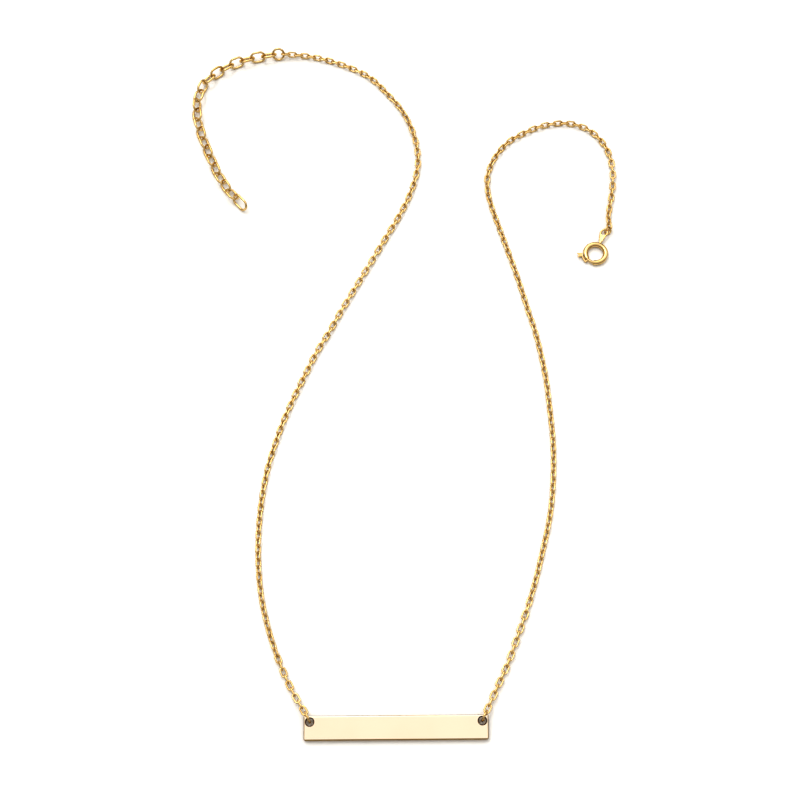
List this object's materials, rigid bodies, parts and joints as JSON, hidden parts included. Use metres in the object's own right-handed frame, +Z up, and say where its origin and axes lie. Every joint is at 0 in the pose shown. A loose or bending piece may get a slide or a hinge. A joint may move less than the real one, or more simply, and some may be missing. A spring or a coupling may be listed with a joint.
{
  "type": "bar necklace",
  "caption": "Bar necklace laid out open: polished rectangular bar on a fine cable chain, with an extender chain and a spring ring clasp.",
  "frame": {"origin": "middle of the box round the whole necklace, on the surface that it lies on", "axes": "+X along the bar, to the side of the clasp; +Y from the bar towards the chain's ends; +Z up from the surface"},
  "size_m": [0.0965, 0.1617, 0.0026],
  "materials": {
    "bar_gold": "mirror-polished gold plate",
    "chain_gold": "polished gold plate"
  },
  "bodies": {
    "necklace": {"bar": "bar_gold", "bar_ring_left": "chain_gold", "bar_ring_right": "chain_gold", "chain_left": "chain_gold", "chain_right": "chain_gold", "extender_ring": "chain_gold", "extender_link_01": "chain_gold", "extender_link_02": "chain_gold", "extender_link_03": "chain_gold", "extender_link_04": "chain_gold", "extender_link_05": "chain_gold", "extender_link_06": "chain_gold", "extender_link_07": "chain_gold", "extender_link_08": "chain_gold", "extender_link_09": "chain_gold", "extender_link_10": "chain_gold", "extender_link_11": "chain_gold", "extender_link_12": "chain_gold", "extender_link_13": "chain_gold", "extender_link_14": "chain_gold", "extender_link_15": "chain_gold", "extender_link_16": "chain_gold", "extender_link_17": "chain_gold", "extender_link_18": "chain_gold", "extender_link_19": "chain_gold", "extender_link_20": "chain_gold", "extender_link_21": "chain_gold", "clasp_jump_ring": "chain_gold", "clasp_ring": "chain_gold"},
    "bolt": {"clasp_bolt": "chain_gold"}
  },
  "joints": [
    {"name": "clasp_bolt_slide", "type": "hinge", "parent": "necklace", "child": "bolt", "pos_m": [0.04305, 0.02622, 0.00063], "axis": [0.0136, 0.033, -0.9994], "range_deg": [0, 40], "stiffness_Nm_per_rad": 0.002, "springref_deg": -20.05}
  ]
}
